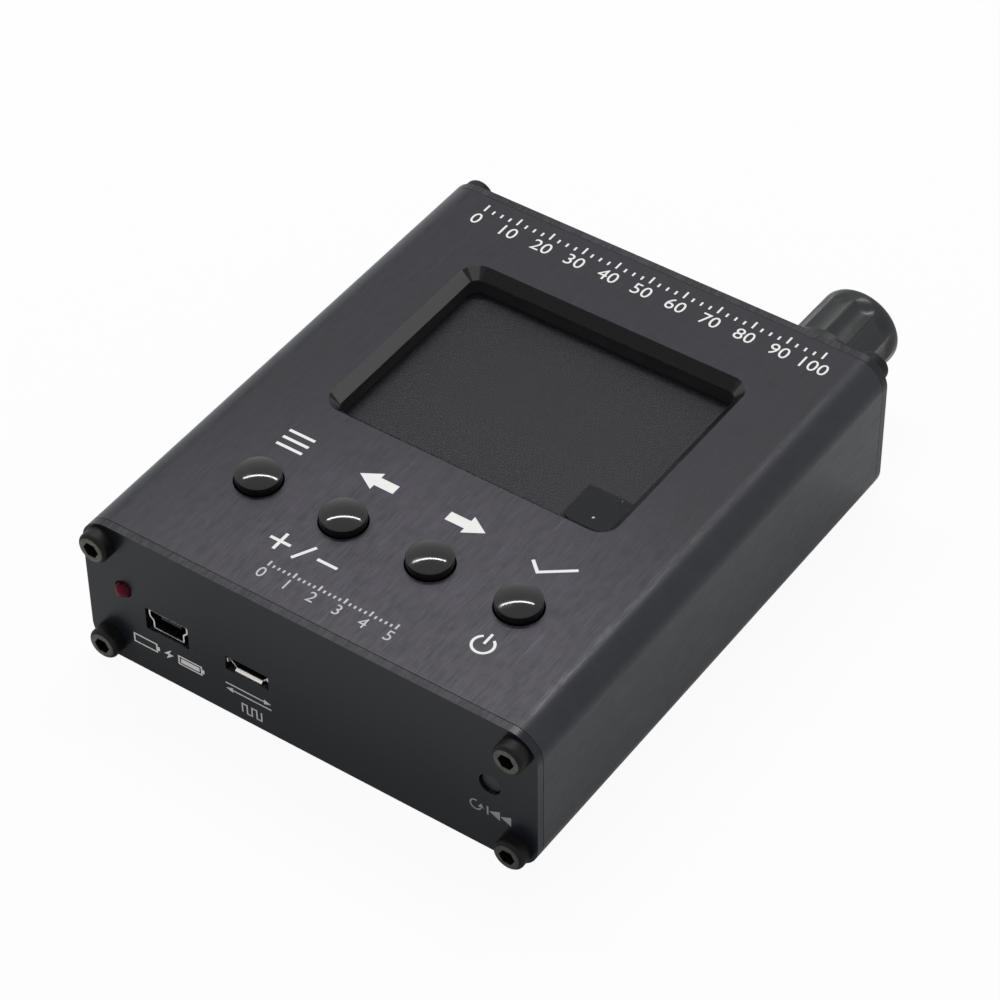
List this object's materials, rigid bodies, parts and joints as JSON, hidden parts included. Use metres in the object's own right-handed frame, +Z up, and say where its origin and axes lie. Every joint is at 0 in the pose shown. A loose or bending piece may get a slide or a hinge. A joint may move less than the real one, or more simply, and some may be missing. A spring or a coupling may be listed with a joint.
{
  "type": "handheld antenna analyzer",
  "caption": "Handheld antenna analyzer: extruded metal case with a recessed display, domed keys, data and charging sockets, and a coaxial connector under a screw-on dust cap.",
  "frame": {"origin": "centre of the case's underside, which is the face it rests on", "axes": "+Z up out of the display face, +X to the right as the keys are read, +Y from the socket plate to the aerial connector"},
  "size_m": [0.084, 0.1205, 0.0303],
  "materials": {
    "anodised_case": "satin",
    "anodised_plate": "satin",
    "black_oxide_steel": "satin",
    "key_black": "gloss",
    "cap_black": "satin",
    "gasket_rubber": "matte",
    "nickel_plate": "bright",
    "tinned_sheet": "satin",
    "gold_plate": "bright",
    "white_ptfe": "matte",
    "black_moulding": "matte",
    "board_green": "satin",
    "display_glass": "gloss",
    "clear_film": "gloss",
    "amber_film": "satin",
    "red_lens": "gloss",
    "foam": "matte",
    "battery_pouch": "satin",
    "cream_nylon": "satin",
    "red_wire": "satin",
    "black_wire": "satin",
    "chip_black": "matte",
    "ferrite": "matte"
  },
  "bodies": {
    "enclosure": {"extruded_case": "anodised_case", "front_panel": "anodised_plate", "rear_panel": "anodised_plate", "front_panel_screws": "black_oxide_steel", "rear_panel_screws": "black_oxide_steel", "header_pins": "gold_plate", "main_board": "board_green", "display_board": "board_green", "header_plug": "black_moulding", "header_socket": "black_moulding", "board_spacers": "nickel_plate", "spacer_screws": "nickel_plate", "lcd_frame": "tinned_sheet", "lcd_glass": "display_glass", "lcd_foam_pad": "foam", "window_gasket": "foam", "screen_film": "clear_film", "lcd_ribbon": "amber_film", "key_switch_bases": "black_moulding", "key_switch_covers": "tinned_sheet", "reset_switch_base": "black_moulding", "reset_switch_cover": "tinned_sheet", "charge_led": "red_lens", "led_leads": "tinned_sheet", "mini_usb_shell": "nickel_plate", "mini_usb_insulator": "black_moulding", "mini_usb_contacts": "gold_plate", "micro_usb_shell": "nickel_plate", "micro_usb_insulator": "black_moulding", "micro_usb_contacts": "gold_plate", "rf_connector_shell": "nickel_plate", "rf_insulator": "white_ptfe", "rf_contact": "gold_plate", "rf_lock_washer": "nickel_plate", "rf_panel_nut": "nickel_plate", "battery_tape": "foam", "battery_cell": "battery_pouch", "battery_socket": "cream_nylon", "battery_plug": "cream_nylon", "battery_wire_red": "red_wire", "battery_wire_black": "black_wire", "rf_shield": "tinned_sheet", "processor": "chip_black", "rf_chips": "chip_black", "charger_chip": "chip_black", "crystal_can": "tinned_sheet", "power_choke": "ferrite"},
    "key_menu": {"button_cap_menu": "key_black", "button_stem_menu": "black_moulding"},
    "key_left": {"button_cap_left": "key_black", "button_stem_left": "black_moulding"},
    "key_right": {"button_cap_right": "key_black", "button_stem_right": "black_moulding"},
    "key_ok": {"button_cap_ok": "key_black", "button_stem_ok": "black_moulding"},
    "reset_key": {"reset_button": "key_black"},
    "cap_seat": {"cap_gasket": "gasket_rubber"},
    "screw_cap": {"dust_cap": "cap_black"}
  },
  "joints": [
    {"name": "key_menu_press", "type": "slide", "parent": "enclosure", "child": "key_menu", "axis": [0, 0, -1], "range_m": [0, 0.0003], "stiffness_N_per_m": 1500, "springref_m": -0.0003},
    {"name": "key_left_press", "type": "slide", "parent": "enclosure", "child": "key_left", "axis": [0, 0, -1], "range_m": [0, 0.0003], "stiffness_N_per_m": 1500, "springref_m": -0.0003},
    {"name": "key_right_press", "type": "slide", "parent": "enclosure", "child": "key_right", "axis": [0, 0, -1], "range_m": [0, 0.0003], "stiffness_N_per_m": 1500, "springref_m": -0.0003},
    {"name": "key_ok_press", "type": "slide", "parent": "enclosure", "child": "key_ok", "axis": [0, 0, -1], "range_m": [0, 0.0003], "stiffness_N_per_m": 1500, "springref_m": -0.0003},
    {"name": "reset_press", "type": "slide", "parent": "enclosure", "child": "reset_key", "axis": [0, 1, 0], "range_m": [0, 0.00025], "stiffness_N_per_m": 1500, "springref_m": -0.0003},
    {"name": "cap_travel", "type": "slide", "parent": "enclosure", "child": "cap_seat", "axis": [0, 1, 0], "range_m": [0, 0.0075]},
    {"name": "cap_turn", "type": "hinge", "parent": "cap_seat", "child": "screw_cap", "pos_m": [0.0259, 0.06, 0.014], "axis": [0, 1, 0], "range_deg": [0, 2977]}
  ],
  "couplings": [
    {"joint": "cap_turn", "follows": "cap_travel", "rad_per_m": 6926.3}
  ]
}
